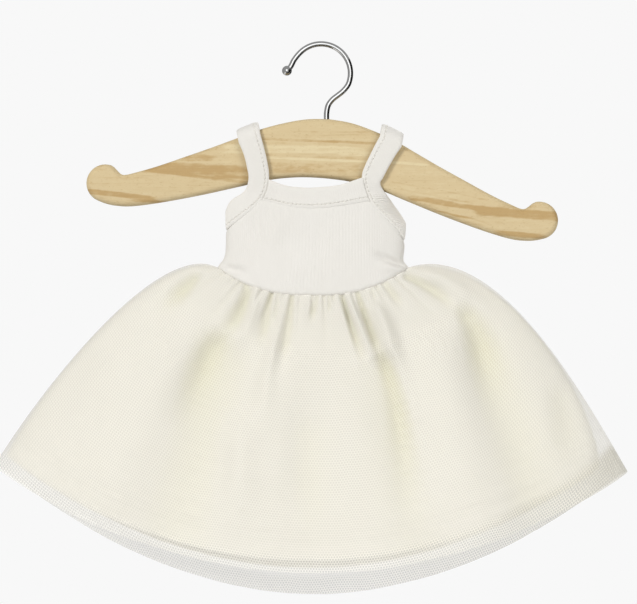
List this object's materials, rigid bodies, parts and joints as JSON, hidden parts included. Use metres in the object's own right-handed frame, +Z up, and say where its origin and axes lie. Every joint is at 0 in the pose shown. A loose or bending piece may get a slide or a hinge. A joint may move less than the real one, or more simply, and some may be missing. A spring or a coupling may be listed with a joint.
{
  "type": "doll tutu dress on a wooden hanger",
  "caption": "Doll's tutu dress with a rib-knit bodice, bound straps, jersey skirt lining and gathered net overskirt, on a small wooden hanger with a wire hook.",
  "frame": {"origin": "underside of the hook's top, where the hook rests on a rail", "axes": "+Z up, +X to the right seen from the front, +Y from the front of the dress to its back"},
  "size_m": [0.2694, 0.0506, 0.2373],
  "materials": {
    "rib_knit": "off-white one-by-one rib knit, matt",
    "jersey_lining": "cream cotton jersey, matt",
    "tulle_net": "ivory hexagonal net, sheer, faint sheen",
    "pine_wood": "light pine, oiled, satin",
    "chrome_wire": "bright chrome plate"
  },
  "bodies": {
    "root": {"hanger_board": "pine_wood", "hanger_hook": "chrome_wire", "bodice_front": "rib_knit", "bodice_back": "rib_knit", "neck_binding_front": "rib_knit", "neck_binding_back": "rib_knit", "armhole_binding_left": "rib_knit", "armhole_binding_right": "rib_knit", "skirt_lining_front": "jersey_lining", "skirt_lining_back": "jersey_lining", "skirt_net_front": "tulle_net", "skirt_net_back": "tulle_net"}
  },
  "joints": []
}
